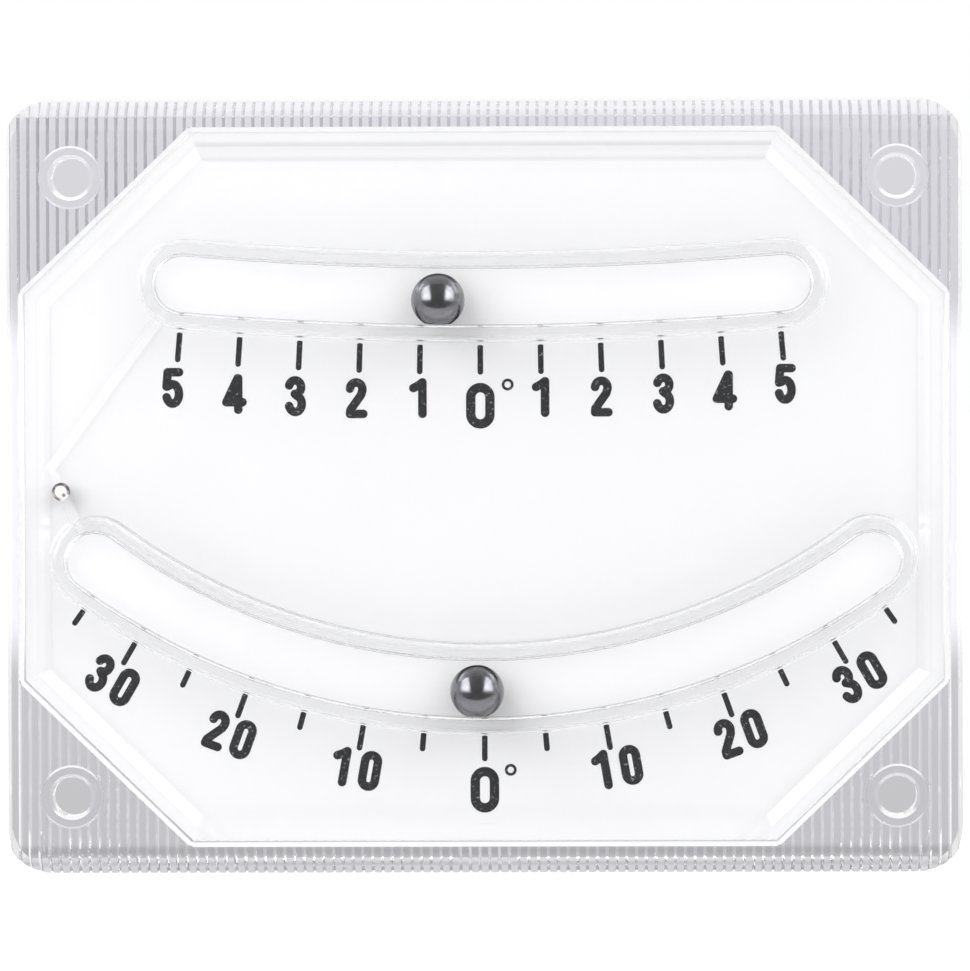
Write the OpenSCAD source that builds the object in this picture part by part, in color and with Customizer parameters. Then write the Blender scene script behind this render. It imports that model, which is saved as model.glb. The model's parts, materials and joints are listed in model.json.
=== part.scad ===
// Ball inclinometer for a bulkhead: a clear moulded cover with two curved ball
// channels, a white dial plate let into its back, and two steel balls.
// Everything is drawn lying on its back, with x to the right, y up the bulkhead
// and z out of it towards the reader, and stand() then turns it upright.

/* [Flange] */
// Width of the clear cover at its back face
flange_w = 98; // [92:0.5:120]
// Height of the clear cover at its back face
flange_h = 79.5; // [76:0.5:100]
// Height of the rib crests above the back face
flange_t = 3.6; // [3:0.1:4.2]
// Corner radius at the back face
corner_r = 5; // [3:0.5:7]
// How far the upper and lower sides lean in up to the rib crests
side_draft = 1.85; // [0.4:0.05:2]
// How far the left and right sides lean in up to the rib crests
end_draft = 0.6; // [0.3:0.1:1]

/* [Reeding] */
// Distance from one rib to the next
rib_pitch = 1; // [0.8:0.1:2]
// Width of the groove between two ribs
groove_w = 0.34; // [0.2:0.02:0.5]
// Depth of that groove
groove_d = 0.28; // [0.1:0.02:0.4]

/* [Window frame] */
// Width of the eight-sided window
window_w = 95; // [92:0.5:96]
// Height of the window
window_h = 73.5; // [70:0.5:75]
// Width of each cut corner
cut_w = 17.4; // [14:0.2:18]
// Height of each cut corner
cut_h = 16.8; // [14:0.2:18]
// Height of the frame round the window above the back face
frame_t = 4.9; // [4.5:0.1:5.5]
// Bevel on the outer edge of the frame
frame_bevel = 0.5; // [0.2:0.1:0.8]
// Width of the frame's flat rim
frame_w = 2; // [1:0.1:2.5]
// Width of the slope from the rim down to the panel
frame_slope = 1.2; // [0.6:0.1:1.5]
// Height of the panel's front face above the back face
panel_t = 4.2; // [3.8:0.1:4.4]

/* [Gate] */
// Diameter of the gate's round pad on the lower rim
gate_d = 6; // [4:0.5:8]
// How far that pad reaches in from the window's lower edge
gate_reach = 2.4; // [2:0.1:3]
// Height of the pad above the rim
gate_rise = 0.1; // [0.05:0.05:0.3]
// Diameter of the nub that the cut gate leaves
nub_d = 0.5; // [0.3:0.1:1]
// Height of that nub above the pad
nub_rise = 0.15; // [0.05:0.05:0.3]

/* [Dial plate] */
// Thickness of the white dial plate
plate_t = 2; // [1.5:0.1:2.2]
// How far the dial plate's edge lies inside the window's edge
plate_inset = 0.6; // [0.5:0.1:2]
// Gap round the dial plate in its recess
plate_gap = 0.1; // [0.05:0.01:0.2]
// Bond line between the dial plate and the cover
bond_gap = 0.05; // [0.03:0.01:0.1]

/* [Balls and channels] */
// Diameter of the steel balls
ball_d = 5.5; // [4:0.1:6]
// Gap between a ball and the wall that it rolls on
ball_gap = 0.05; // [0.03:0.01:0.1]
// Room in a channel above the ball
room_above = 0.8; // [0.5:0.1:1.6]
// Room in a channel in front of and behind the ball, together
room_deep = 0.5; // [0.3:0.1:1]
// Wall thickness of the channels
channel_wall = 1.4; // [1:0.1:1.8]
// Radius of the channels' outer front edges
channel_round = 0.9; // [0.4:0.1:1.4]
// Radius of the channels' inner front edges
cavity_round = 0.4; // [0.2:0.1:0.8]
// Radius of the fillet where a channel meets the panel
channel_foot = 0.45; // [0.2:0.05:0.8]
// Radius of the upper channel's middle line
upper_arc_r = 347.5; // [300:0.5:400]
// Height of the upper channel's middle line at its lowest point
upper_mid = 19.4; // [17:0.1:22]
// Angle from the upper channel's middle to the centre of its rounded end
upper_half = 5.03; // [4.5:0.01:5.2]
// Radius of the lower channel's middle line
lower_arc_r = 66.5; // [64:0.5:68]
// Height of the lower channel's middle line at its lowest point
lower_mid = -20.5; // [-22:0.1:-18]
// Angle from the lower channel's middle to the centre of its rounded end
lower_half = 36.5; // [34:0.1:36.5]
// Where the upper ball stands, in degrees right of the middle
upper_reading = -0.76; // [-4:0.01:4]
// Where the lower ball stands, in degrees right of the middle
lower_reading = -0.62; // [-30:0.01:30]

/* [Scales] */
// Width of the scale marks
mark_w = 0.58; // [0.3:0.02:0.8]
// Depth of the scale marks, let into the dial plate
mark_d = 0.15; // [0.1:0.01:0.3]
// Length of the upper marks
upper_mark = 3.2; // [2:0.1:4]
// Length of the lower scale's long marks
long_mark = 2.85; // [2:0.05:3]
// Length of the lower scale's short marks
short_mark = 2.1; // [1:0.1:2.5]
// Gap between a channel's outer wall and its marks
mark_gap = 0.2; // [0:0.05:1]
// Sideways offset of the upper scale on the dial
upper_scale_x = -0.35; // [-0.5:0.05:0.5]

/* [Screw holes] */
// Distance between the screw holes across the width
screw_span_w = 84.4; // [82:0.2:86]
// Distance between the screw holes across the height
screw_span_h = 63.3; // [60:0.1:66]
// Diameter of the screw holes
screw_d = 4; // [3:0.1:4.2]
// Width of the chamfer at the mouth of a hole
screw_chamfer = 0.35; // [0.1:0.05:0.6]
// Diameter of the smooth boss round a hole
boss_d = 6.5; // [6:0.1:7.5]
// How far a boss stands above the rib crests
boss_rise = 0.25; // [0.1:0.05:0.5]
// Bevel on a boss's edge
boss_bevel = 0.2; // [0.05:0.05:0.3]

/* [Filling duct] */
// Height at which the duct meets the window's frame
duct_bend_y = 1.9; // [0:0.1:4]
// Width of the duct between the channels
duct_w = 0.8; // [0.5:0.1:1]
// Depth of the duct in the back of the panel
duct_d = 0.8; // [0.4:0.1:1]
// Width of the ridge in front of the duct
ridge_w = 1.1; // [0.8:0.1:1.5]
// Height of that ridge above the panel
ridge_rise = 0.35; // [0.2:0.05:0.6]
// Diameter of the fill plug
plug_d = 1.8; // [1.2:0.1:2]
// Distance from the window's frame to the fill plug's centre
plug_inset = 1.1; // [1:0.1:2]
// Height of the fill plug's centre
plug_y = -0.4; // [-2:0.1:1]
// Gap round the fill plug
plug_gap = 0.03; // [0.02:0.01:0.1]

/* [Hidden] */
$fn = 96;

clear_colour = [0.86, 0.88, 0.92, 0.45];
white_colour = [0.97, 0.97, 0.98];
print_colour = [0.13, 0.13, 0.14];
steel_colour = [0.2, 0.2, 0.22];
plug_colour = [0.62, 0.6, 0.58];

// Levels above the back face
seat_z = plate_t + bond_gap;
cavity_z = plate_t + ball_d + room_deep;
channel_z = cavity_z + channel_wall;
ball_z = plate_t + (ball_d + room_deep) / 2;
buried_z = 1;

// Half heights of a channel, inside and outside
cavity_half = (ball_d + room_above + ball_gap) / 2;
channel_half = cavity_half + channel_wall;

// Radii on which the balls run and from which the marks start
ball_run = cavity_half - ball_d / 2 - ball_gap;
mark_start = channel_half + mark_gap;

// The duct runs from the upper channel's left end to the plug, and on to the
// lower channel's left end
upper_end = [
    -upper_arc_r * sin(upper_half),
    upper_mid + upper_arc_r * (1 - cos(upper_half))
];
lower_end = [
    -lower_arc_r * sin(lower_half),
    lower_mid + lower_arc_r * (1 - cos(lower_half))
];
duct_x = frame_w + frame_slope - window_w / 2;
duct_bend = [duct_x, duct_bend_y];
plug_at = [duct_x + plug_inset, plug_y];
duct_path = [upper_end, duct_bend, plug_at, lower_end];

// Cuts run past the faces that they open by this much
past = 1;
// The reeding lies this far under the plain sides, so that it leads them
reed_sink = 0.02;

module stand() {
    rotate([90, 0, 0]) children();
}

// --- outlines ---

// What is left of a cut corner's side a, beside side b, on an outline that is
// drawn in by the distance d
function drawn_in(a, b, d) = a - d + d * (norm([a, b]) - a) / b;

// The window's eight-sided outline, drawn in by the distance d
module octagon(d = 0) {
    x = window_w / 2 - d;
    y = window_h / 2 - d;
    u = x - drawn_in(cut_w, cut_h, d);
    v = y - drawn_in(cut_h, cut_w, d);
    polygon([
        [x, -v], [x, v], [u, y], [-u, y],
        [-x, v], [-x, -v], [-u, -y], [u, -y]
    ]);
}

// A band with rounded front edges, and a concave foot at the height foot_z
module section(half, front, round_r, foot_z = 0, foot_r = 0) {
    translate([-half, 0]) square([2 * half, front - round_r]);
    translate([round_r - half, 0]) square([2 * (half - round_r), front]);
    for (s = [-1, 1]) {
        translate([s * (half - round_r), front - round_r]) circle(round_r);
        if (foot_r > 0)
            difference() {
                translate([s * (half + foot_r / 2), foot_z / 2 + foot_r / 2])
                    square([foot_r, foot_z + foot_r], center = true);
                translate([s * (half + foot_r), foot_z + foot_r]) circle(foot_r);
            }
    }
}

// A section's right half, to be turned about its middle
module half_section() {
    intersection() {
        children();
        translate([0, -past])
            square([channel_half + channel_foot + past, channel_z + 2 * past]);
    }
}

// A section carried along an arc that hangs under its centre, with round ends
module along_arc(arc_r, mid, half_angle) {
    translate([0, mid + arc_r, 0]) {
        rotate([0, 0, -90 - half_angle])
            rotate_extrude(angle = 2 * half_angle, $fn = 256)
                translate([arc_r, 0]) children();
        for (s = [-1, 1])
            rotate([0, 0, s * half_angle])
                translate([0, -arc_r, 0])
                    rotate_extrude() half_section() children();
    }
}

module both_channels() {
    along_arc(upper_arc_r, upper_mid, upper_half) children();
    along_arc(lower_arc_r, lower_mid, lower_half) children();
}

// --- reeded flange ---

// A block whose top face carries the ribs, along y, with their crests at z = 0
module reeding(depth, length) {
    count = ceil(flange_w / rib_pitch / 2) + 1;
    grooves = [
        for (i = [-count : count - 1])
            let (x = (i + 0.5) * rib_pitch)
                each [[x - groove_w / 2, 0], [x, -groove_d], [x + groove_w / 2, 0]]
    ];
    reach = (count + 0.5) * rib_pitch;
    rotate([90, 0, 0])
        linear_extrude(length, center = true)
            polygon(concat(
                [[-reach, -depth], [-reach, 0]], grooves, [[reach, 0], [reach, -depth]]
            ));
}

// A rectangle with round corners
module rounded(w, h, r) {
    square([w - 2 * r, h], center = true);
    square([w, h - 2 * r], center = true);
    for (sx = [-1, 1], sy = [-1, 1])
        translate([sx * (w / 2 - r), sy * (h / 2 - r)]) circle(r);
}

// A side view that leans in by the draft over the flange's thickness
module leaning(w, draft, height) {
    x = w / 2;
    lean = draft * height / flange_t;
    polygon([[-x, 0], [x, 0], [x - lean, height], [lean - x, height]]);
}

// A slab with round corners whose sides lean in
module drafted_slab(height) {
    intersection() {
        linear_extrude(height) rounded(flange_w, flange_h, corner_r);
        rotate([90, 0, 0])
            linear_extrude(flange_h + past, center = true)
                leaning(flange_w, end_draft, height);
        rotate([90, 0, 90])
            linear_extrude(flange_w + past, center = true)
                leaning(flange_h, side_draft, height);
    }
}

// The ribs of the upper (s = 1) or lower (s = -1) side wall
module reeded_side(s) {
    lean = atan(side_draft / flange_t);
    translate([0, s * (flange_h / 2 - reed_sink), 0])
        rotate([-s * (90 - lean), 0, 0])
            reeding(2 * flange_h, 2 * flange_h);
}

// The ribs run down the front and wrap over the upper and lower sides
module reeded_flange() {
    intersection() {
        drafted_slab(flange_t + past);
        translate([0, 0, flange_t]) reeding(flange_t + past, flange_h + 2 * past);
        reeded_side(1);
        reeded_side(-1);
    }
}

// --- window ---

module window_block() {
    hull() {
        translate([0, 0, buried_z])
            linear_extrude(frame_t - frame_bevel - buried_z) octagon();
        translate([0, 0, buried_z])
            linear_extrude(frame_t - buried_z) octagon(frame_bevel);
    }
}

module panel_recess() {
    hull() {
        translate([0, 0, panel_t])
            linear_extrude(frame_t - panel_t) octagon(frame_w + frame_slope);
        translate([0, 0, frame_t]) linear_extrude(past) octagon(frame_w);
    }
}

// The gate's pad on the lower rim, cut off at the bevel, and its nub
module gate() {
    pad_z = frame_t + gate_rise;
    y = gate_reach - window_h / 2;
    translate([0, 0, buried_z])
        linear_extrude(pad_z - buried_z)
            intersection() {
                translate([0, y - gate_d / 2]) circle(d = gate_d);
                octagon(frame_bevel + gate_rise);
            }
    translate([0, y - gate_reach / 2 + nub_d / 2, buried_z])
        cylinder(d = nub_d, h = pad_z + nub_rise - buried_z);
}

// --- screw holes ---

module at_screws() {
    for (sx = [-1, 1], sy = [-1, 1])
        translate([sx * screw_span_w / 2, sy * screw_span_h / 2, 0]) children();
}

module boss() {
    bevel_z = flange_t + boss_rise - boss_bevel;
    translate([0, 0, buried_z]) cylinder(d = boss_d, h = bevel_z - buried_z);
    translate([0, 0, bevel_z])
        cylinder(d1 = boss_d, d2 = boss_d - 2 * boss_bevel, h = boss_bevel);
}

module screw_hole() {
    mouth_z = flange_t + boss_rise;
    translate([0, 0, -past]) cylinder(d = screw_d, h = mouth_z + 2 * past);
    translate([0, 0, mouth_z - screw_chamfer])
        cylinder(
            d1 = screw_d,
            d2 = screw_d + 4 * screw_chamfer,
            h = 2 * screw_chamfer
        );
}

// --- duct ---

// A run of straight strips with round joints through the duct's points
module duct_run(width) {
    for (i = [0 : len(duct_path) - 2]) {
        from = duct_path[i];
        step = duct_path[i + 1] - from;
        translate(from) {
            circle(d = width);
            rotate(atan2(step[1], step[0]))
                translate([0, -width / 2]) square([norm(step), width]);
        }
    }
}

// --- scales ---

// One mark with round ends, from the radius r outwards, at an angle right of zero
module mark(arc_r, mid, r, length, angle) {
    translate([0, mid + arc_r])
        rotate(angle)
            translate([0, -r - length]) {
                translate([-mark_w / 2, mark_w / 2])
                    square([mark_w, length - mark_w]);
                for (y = [mark_w / 2, length - mark_w / 2])
                    translate([0, y]) circle(d = mark_w);
            }
}

module inlay() {
    translate([0, 0, plate_t - mark_d]) linear_extrude(mark_d) children();
}

module upper_marks() {
    translate([upper_scale_x, 0])
        for (a = [-5 : 5])
            mark(upper_arc_r, upper_mid, upper_arc_r + mark_start, upper_mark, a);
}

module lower_marks() {
    for (a = [-35 : 5 : 35])
        mark(
            lower_arc_r, lower_mid, lower_arc_r + mark_start,
            a % 10 == 0 ? long_mark : short_mark, a
        );
}

// --- balls ---

module ball_at(arc_r, mid, angle) {
    translate([0, mid + arc_r, ball_z])
        rotate([0, 0, angle])
            translate([0, -arc_r - ball_run, 0]) sphere(d = ball_d);
}

// --- pieces ---

module clear_cover() {
    color(clear_colour)
    stand()
    difference() {
        union() {
            difference() {
                union() {
                    reeded_flange();
                    window_block();
                }
                panel_recess();
            }
            gate();
            at_screws() boss();
            both_channels()
                section(channel_half, channel_z, channel_round, panel_t, channel_foot);
            linear_extrude(panel_t + ridge_rise) duct_run(ridge_w);
        }
        translate([0, 0, -past])
            linear_extrude(seat_z + past) octagon(plate_inset - plate_gap);
        both_channels() section(cavity_half, cavity_z, cavity_round);
        linear_extrude(seat_z + duct_d) duct_run(duct_w);
        translate([plug_at[0], plug_at[1], seat_z])
            cylinder(d = plug_d + 2 * plug_gap, h = channel_z);
        at_screws() screw_hole();
    }
}

module dial_plate() {
    color(white_colour)
    stand()
    difference() {
        linear_extrude(plate_t) octagon(plate_inset);
        translate([0, 0, plate_t - mark_d])
            linear_extrude(mark_d + past) {
                upper_marks();
                lower_marks();
            }
    }
}

module upper_scale() {
    color(print_colour) stand() inlay() upper_marks();
}

module lower_scale() {
    color(print_colour) stand() inlay() lower_marks();
}

module upper_ball() {
    color(steel_colour) stand() ball_at(upper_arc_r, upper_mid, upper_reading);
}

module lower_ball() {
    color(steel_colour) stand() ball_at(lower_arc_r, lower_mid, lower_reading);
}

module fill_plug() {
    plug_z = panel_t + ridge_rise;
    color(plug_colour)
    stand()
    translate([plug_at[0], plug_at[1], seat_z + duct_d])
        cylinder(d = plug_d, h = plug_z - seat_z - duct_d);
}

clear_cover();
dial_plate();
upper_scale();
lower_scale();
upper_ball();
lower_ball();
fill_plug();
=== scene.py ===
"""Looks of a ball inclinometer for a bulkhead.

A clear moulded cover carries two curved ball channels in front of a white dial plate.
Lengths in this file are millimetres, and mm() turns them into metres.
"""
import json
import math

import bmesh
import bpy
import numpy as np
from mathutils import Matrix, Vector
from mathutils.geometry import delaunay_2d_cdt

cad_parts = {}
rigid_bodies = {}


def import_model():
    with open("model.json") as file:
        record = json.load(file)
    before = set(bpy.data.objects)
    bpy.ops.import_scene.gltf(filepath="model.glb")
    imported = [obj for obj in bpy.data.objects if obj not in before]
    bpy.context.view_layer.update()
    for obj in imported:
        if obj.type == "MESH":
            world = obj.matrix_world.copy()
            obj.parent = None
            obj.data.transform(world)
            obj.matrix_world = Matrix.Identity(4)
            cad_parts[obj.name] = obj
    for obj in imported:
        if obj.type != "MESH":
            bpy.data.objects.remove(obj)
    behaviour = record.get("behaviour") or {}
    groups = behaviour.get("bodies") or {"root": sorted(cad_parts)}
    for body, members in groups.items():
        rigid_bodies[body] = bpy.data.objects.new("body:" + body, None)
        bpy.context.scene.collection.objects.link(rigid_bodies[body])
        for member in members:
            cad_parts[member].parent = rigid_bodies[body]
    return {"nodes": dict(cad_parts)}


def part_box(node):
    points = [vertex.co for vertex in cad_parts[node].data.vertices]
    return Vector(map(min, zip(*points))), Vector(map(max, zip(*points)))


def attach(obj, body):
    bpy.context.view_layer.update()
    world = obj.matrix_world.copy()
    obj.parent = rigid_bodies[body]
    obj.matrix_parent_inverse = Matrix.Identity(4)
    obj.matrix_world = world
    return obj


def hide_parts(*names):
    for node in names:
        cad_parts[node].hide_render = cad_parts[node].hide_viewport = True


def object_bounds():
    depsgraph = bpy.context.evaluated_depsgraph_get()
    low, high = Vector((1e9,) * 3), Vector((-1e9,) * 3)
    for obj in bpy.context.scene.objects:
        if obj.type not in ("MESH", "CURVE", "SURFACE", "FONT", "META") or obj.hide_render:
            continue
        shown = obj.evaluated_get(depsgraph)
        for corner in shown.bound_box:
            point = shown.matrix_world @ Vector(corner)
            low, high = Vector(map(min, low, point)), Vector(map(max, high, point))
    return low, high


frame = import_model()
cad_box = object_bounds()

# --- sizes that the pieces share with the frame ---

DIAL_FRONT = 2.0
PANEL_FRONT = 4.2
BALL_DIAMETER = 5.5
CAVITY_FRONT = 8.0
CAVITY_HALF = 3.175
CAVITY_ROUND = 0.4
CHANNEL_FRONT = 9.4
CHANNEL_HALF = 4.575
CHANNEL_ROUND = 0.9
CHANNEL_FOOT = 0.45
UPPER_CENTRE = Vector((0, 366.9))
UPPER_RADIUS = 347.5
UPPER_HALF_ANGLE = 5.03
LOWER_CENTRE = Vector((0, 46.0))
LOWER_RADIUS = 66.5
LOWER_HALF_ANGLE = 36.5
PLUG_AT = Vector((-43.2, -0.4))
WINDOW_HALF = Vector((47.5, 36.75))
WINDOW_CUT = Vector((17.4, 16.8))
DUCT = [
    Vector((-30.47, 20.74)), Vector((-44.3, 1.9)), Vector((-43.2, -0.4)), Vector((-39.55, -7.46)),
]
DUCT_REACH = 0.45
RIDGE_HALF = 0.55
RIDGE_RISE = 0.35
FLANGE_FRONT = 3.6
SCREWS_AT = Vector((42.2, 31.65))
HOLE_RADIUS = 2.0
BOSS_RADIUS = 3.25
GATE_AT = Vector((0, -37.35))
GATE_RADIUS = 3.0
LOWER_DRAFT_FROM = -37.85
FLOOR_GAP = 0.2


def mm(*lengths):
    """Metres for a length or a point in millimetres."""
    metres = [length * 0.001 for length in lengths]
    return metres[0] if len(metres) == 1 else Vector(metres)


# --- helpers for node trees ---

def add_node(tree, kind, place=(0, 0), settings=None, **values):
    """A node with its properties from settings and its input values by socket name."""
    node = tree.nodes.new(kind)
    node.location = place
    for name, value in (settings or {}).items():
        setattr(node, name, value)
    for name, value in values.items():
        node.inputs[name.replace("_", " ")].default_value = value
    return node


def join(tree, source, target):
    tree.links.new(source, target)


def bare_material(name):
    """A new material with nothing but its output."""
    material = bpy.data.materials.new(name)
    material.use_nodes = True
    tree = material.node_tree
    tree.nodes.clear()
    return material, tree, add_node(tree, "ShaderNodeOutputMaterial", (600, 0))


def blank_material(name):
    """A new material with an output and a Principled shader."""
    material, tree, output = bare_material(name)
    shader = add_node(tree, "ShaderNodeBsdfPrincipled", (200, 0))
    return material, tree, output, shader


def grain(tree, scale, detail=3.0, rough=0.5, place=(-800, 0)):
    """Noise on object coordinates, with scale in cells for each millimetre."""
    coordinates = add_node(tree, "ShaderNodeTexCoord", (place[0] - 200, place[1]))
    noise = add_node(
        tree, "ShaderNodeTexNoise", place,
        Scale=scale * 1000, Detail=detail, Roughness=rough,
    )
    join(tree, coordinates.outputs["Object"], noise.inputs["Vector"])
    return noise


def spread(tree, source, low, high, to_low, to_high, place=(-500, 0)):
    """Maps a value from low..high to to_low..to_high and holds it there."""
    node = add_node(tree, "ShaderNodeMapRange", place)
    for name, value in (
        ("From Min", low), ("From Max", high), ("To Min", to_low), ("To Max", to_high)
    ):
        node.inputs[name].default_value = value
    join(tree, source, node.inputs["Value"])
    return node.outputs["Result"]


def relief(tree, source, shader, height, strength=1.0):
    """Bump whose height is in millimetres."""
    bump = add_node(tree, "ShaderNodeBump", (-100, -300), Strength=strength, Distance=mm(height))
    join(tree, source, bump.inputs["Height"])
    join(tree, bump.outputs["Normal"], shader.inputs["Normal"])


def two_tone(tree, factor, first, second):
    """A colour between first and second, either of which may be a socket."""
    mix = add_node(tree, "ShaderNodeMix", (-200, 200), {"data_type": "RGBA"})
    sockets = [socket for socket in mix.inputs if socket.type == "RGBA"]
    for socket, colour in zip(sockets, (first, second)):
        if isinstance(colour, tuple):
            socket.default_value = (*colour, 1)
        else:
            join(tree, colour, socket)
    join(tree, factor, mix.inputs[0])
    return next(socket for socket in mix.outputs if socket.type == "RGBA")


def step_of(tree, source, start, end):
    """A smooth rise from 0 to 1 as the source goes from start to end."""
    node = add_node(
        tree, "ShaderNodeMapRange", (0, 0), {"interpolation_type": "SMOOTHSTEP"},
        From_Min=start, From_Max=end,
    )
    join(tree, source, node.inputs["Value"])
    return node.outputs["Result"]


def calc(tree, operation, first, second=0):
    """The result of a Math node on one or two sources, each a socket or a number."""
    node = add_node(tree, "ShaderNodeMath", (0, 0), {"operation": operation})
    for socket, source in zip(node.inputs, (first, second)):
        if isinstance(source, (int, float)):
            socket.default_value = source
        else:
            join(tree, source, socket)
    return node.outputs[0]


def blend(tree, low, high, factor):
    """low where the factor is 0, and high where it is 1."""
    rise = calc(tree, "SUBTRACT", high, low)
    return calc(tree, "ADD", low, calc(tree, "MULTIPLY", rise, factor))


def object_axes(tree):
    """The x, y and z sockets of the place on the piece, in metres."""
    coordinates = add_node(tree, "ShaderNodeTexCoord", (-1800, 0))
    axes = add_node(tree, "ShaderNodeSeparateXYZ", (-1600, 0))
    join(tree, coordinates.outputs["Object"], axes.inputs[0])
    return axes.outputs


def hump(tree, source, middle, reach):
    """1 where the source is at the middle, falling to 0 at the reach to either side."""
    off = calc(tree, "ABSOLUTE", calc(tree, "SUBTRACT", source, middle))
    return step_of(tree, off, reach, 0.0)


def length_of(tree, across, up):
    """The length of a step with those two parts."""
    squares = [calc(tree, "MULTIPLY", part, part) for part in (across, up)]
    return calc(tree, "SQRT", calc(tree, "ADD", *squares))


def off_screws(tree, x, z):
    """How far above and how far off the nearest screw hole's middle a place is, in metres."""
    across = calc(tree, "SUBTRACT", calc(tree, "ABSOLUTE", x), mm(SCREWS_AT.x))
    up = calc(tree, "SUBTRACT", calc(tree, "ABSOLUTE", z), mm(SCREWS_AT.y))
    return up, length_of(tree, across, up)


def pass_lamp_light(tree, shader, output, share):
    """Lets that share of the lamps' light straight through a clear surface."""
    path = add_node(tree, "ShaderNodeLightPath", (-100, 500))
    clear = add_node(tree, "ShaderNodeBsdfTransparent", (200, 150))
    mix = add_node(tree, "ShaderNodeMixShader", (420, 100))
    join(tree, calc(tree, "MULTIPLY", path.outputs["Is Shadow Ray"], share), mix.inputs[0])
    join(tree, shader.outputs[0], mix.inputs[1])
    join(tree, clear.outputs[0], mix.inputs[2])
    join(tree, mix.outputs[0], output.inputs["Surface"])


# --- finishes ---

PLASTIC_IOR = 1.49
PLAIN_CLEAR = (0.985, 0.985, 0.99)
FLOW_WAVES = 0.11
GLOSS_HAZE = 0.9


def clear_plastic(name, colour, roughness, wave, lamp_share):
    """Moulded clear plastic: slight flow waves in the face, and a finer haze in the gloss."""
    material, tree, output, shader = blank_material(name)
    shader.inputs["Base Color"].default_value = (*colour, 1)
    shader.inputs["Transmission Weight"].default_value = 1.0
    shader.inputs["IOR"].default_value = PLASTIC_IOR
    haze = grain(tree, GLOSS_HAZE, detail=4.0, place=(-800, 250))
    gloss = spread(tree, haze.outputs["Fac"], 0.3, 0.75, roughness * 0.5, roughness * 1.6)
    join(tree, gloss, shader.inputs["Roughness"])
    waves = grain(tree, FLOW_WAVES, detail=2.0, place=(-800, -300))
    relief(tree, waves.outputs["Fac"], shader, wave)
    pass_lamp_light(tree, shader, output, lamp_share)
    return material, tree, shader


def inside_window(tree):
    """Distances in millimetres inside the window's sides, upper edge and cut corners."""
    x, _, z = object_axes(tree)
    half, cut = WINDOW_HALF, WINDOW_CUT
    across = calc(tree, "MULTIPLY", calc(tree, "ABSOLUTE", x), 1000)
    up = calc(tree, "MULTIPLY", z, 1000)
    from_side = calc(tree, "SUBTRACT", half.x, across)
    from_top = calc(tree, "SUBTRACT", half.y, up)
    from_end = calc(tree, "SUBTRACT", half.y, calc(tree, "ABSOLUTE", up))
    shares = calc(
        tree, "ADD", calc(tree, "DIVIDE", from_side, cut.x),
        calc(tree, "DIVIDE", from_end, cut.y),
    )
    slant = math.hypot(1 / cut.x, 1 / cut.y)
    from_cut = calc(tree, "DIVIDE", calc(tree, "SUBTRACT", shares, 1.0), slant)
    return from_side, from_top, from_cut


# Painted grey shade lines along the slope's edges, in place of its refraction: how far inside
# they lie, how wide they are to either side, and how dark they are
SIDE_SHADE_LINES = [(2.15, 0.55, 0.35), (3.0, 0.6, 0.5)]
TOP_SHADE_LINES = [(1.85, 0.62, 1.0), (3.0, 0.7, 0.95)]
CUT_SHADE_LINES = [(2.0, 0.7, 0.2), (3.3, 0.6, 0.15)]
RIM_LINE_SHADE = 0.16


def window_plastic(name, roughness):
    """The clear window, with faint grey lines of painted shade along both edges of the slope round
    it.
    """
    material, tree, shader = clear_plastic(name, PLAIN_CLEAR, roughness, 0.004, 0.97)
    side, top, cut = inside_window(tree)
    shade = 0.0
    for depth, others, lines in (
        (side, (top, cut), SIDE_SHADE_LINES), (top, (side, cut), TOP_SHADE_LINES), (cut, (side, top), CUT_SHADE_LINES)
    ):
        nearest = 1.0
        for other in others:
            behind = calc(tree, "LESS_THAN", depth, other)
            nearest = calc(tree, "MULTIPLY", nearest, behind)
        for middle, reach, dark in lines:
            line = calc(tree, "MULTIPLY", hump(tree, depth, middle, reach), dark)
            shade = calc(tree, "ADD", shade, calc(tree, "MULTIPLY", line, nearest))
    dark = tuple(level - RIM_LINE_SHADE for level in PLAIN_CLEAR)
    join(tree, two_tone(tree, shade, PLAIN_CLEAR, dark), shader.inputs["Base Color"])
    return material


# Grey of the rib crests: painted shade, as the clear plastic itself is not grey
CREST_SHADE_TINT = (0.765, 0.76, 0.785)
CREST_CLOUD = 0.97
# Painted shade in the upper grooves, to the left and to the right
GROOVE_UPPER_SHADE = (0.30, 0.30, 0.33)
GROOVE_UPPER_RIGHT_SHADE = (0.46, 0.46, 0.49)
# Painted shade: the grooves are dark above the first height and clear below the second
GROOVE_SHADE_FADE = (22, 14)


def crest_plastic():
    """The flat front of the ribs and the bosses: greyed as painted shade, with a faint random cloud
    of tone.
    """
    material, tree, shader = clear_plastic("rib_crest_plastic", CREST_SHADE_TINT, 0.04, 0.01, 0.9)
    cloud = grain(tree, 0.16, detail=2.0, place=(-800, 600))
    tone = spread(tree, cloud.outputs["Fac"], 0.35, 0.65, 0.0, 1.0, place=(-500, 600))
    darker = tuple(level * CREST_CLOUD for level in CREST_SHADE_TINT)
    join(tree, two_tone(tree, tone, CREST_SHADE_TINT, darker), shader.inputs["Base Color"])
    return material


def groove_plastic():
    """The grooves between the ribs: darkened with painted shade on the upper half, and clear on the
    lower half.
    """
    material, tree, shader = clear_plastic("rib_groove_plastic", (1, 1, 1), 0.05, 0.0, 0.9)
    x, _, z = object_axes(tree)
    rightwards = step_of(tree, x, mm(-30), mm(30))
    top = two_tone(tree, rightwards, GROOVE_UPPER_SHADE, GROOVE_UPPER_RIGHT_SHADE)
    low = step_of(tree, z, *(mm(height) for height in GROOVE_SHADE_FADE))
    join(tree, two_tone(tree, low, top, (1, 1, 1)), shader.inputs["Base Color"])
    return material


# The bevels' painted highlights: their white, and how much of it shows
GLINT_TINT = (0.8, 0.8, 0.82)
GLINT_SHARE = 0.68


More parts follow.
